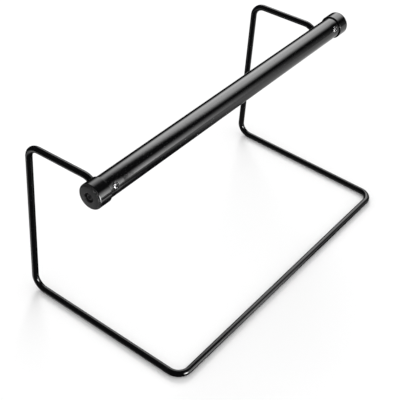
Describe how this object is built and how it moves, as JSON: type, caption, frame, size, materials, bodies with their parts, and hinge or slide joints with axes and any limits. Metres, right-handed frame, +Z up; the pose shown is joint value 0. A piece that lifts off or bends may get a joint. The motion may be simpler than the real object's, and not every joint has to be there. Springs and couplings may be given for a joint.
{
  "type": "paper towel holder",
  "caption": "Free-standing countertop paper towel holder: an open bent-wire frame whose two arms carry a horizontal lift-off roll bar with end caps.",
  "frame": {"origin": "centre of the footprint on the table, under the middle of the frame", "axes": "+X along the roll bar, -Y towards the front rail, +Z up"},
  "size_m": [0.362, 0.174, 0.1776],
  "materials": {
    "frame_paint": "gloss black paint on bent steel wire",
    "bar_paint": "gloss black paint on steel tube",
    "cap_plastic": "gloss sides, satin moulded face",
    "plug_plastic": "moulded, hidden inside the tube",
    "screw_black": "black finished steel screw",
    "screw_steel": "plated button head"
  },
  "bodies": {
    "frame": {"wire_frame": "frame_paint"},
    "bar": {"bar_tube": "bar_paint", "left_end_cap": "cap_plastic", "left_bar_plug": "plug_plastic", "left_cap_screw": "screw_black", "left_plug_screw": "screw_steel", "right_end_cap": "cap_plastic", "right_bar_plug": "plug_plastic", "right_cap_screw": "screw_black", "right_plug_screw": "screw_steel"}
  },
  "joints": [
    {"name": "bar_pull_off", "type": "slide", "parent": "frame", "child": "bar", "axis": [0, -0.8965, 0.4431], "range_m": [0, 0.035]}
  ]
}
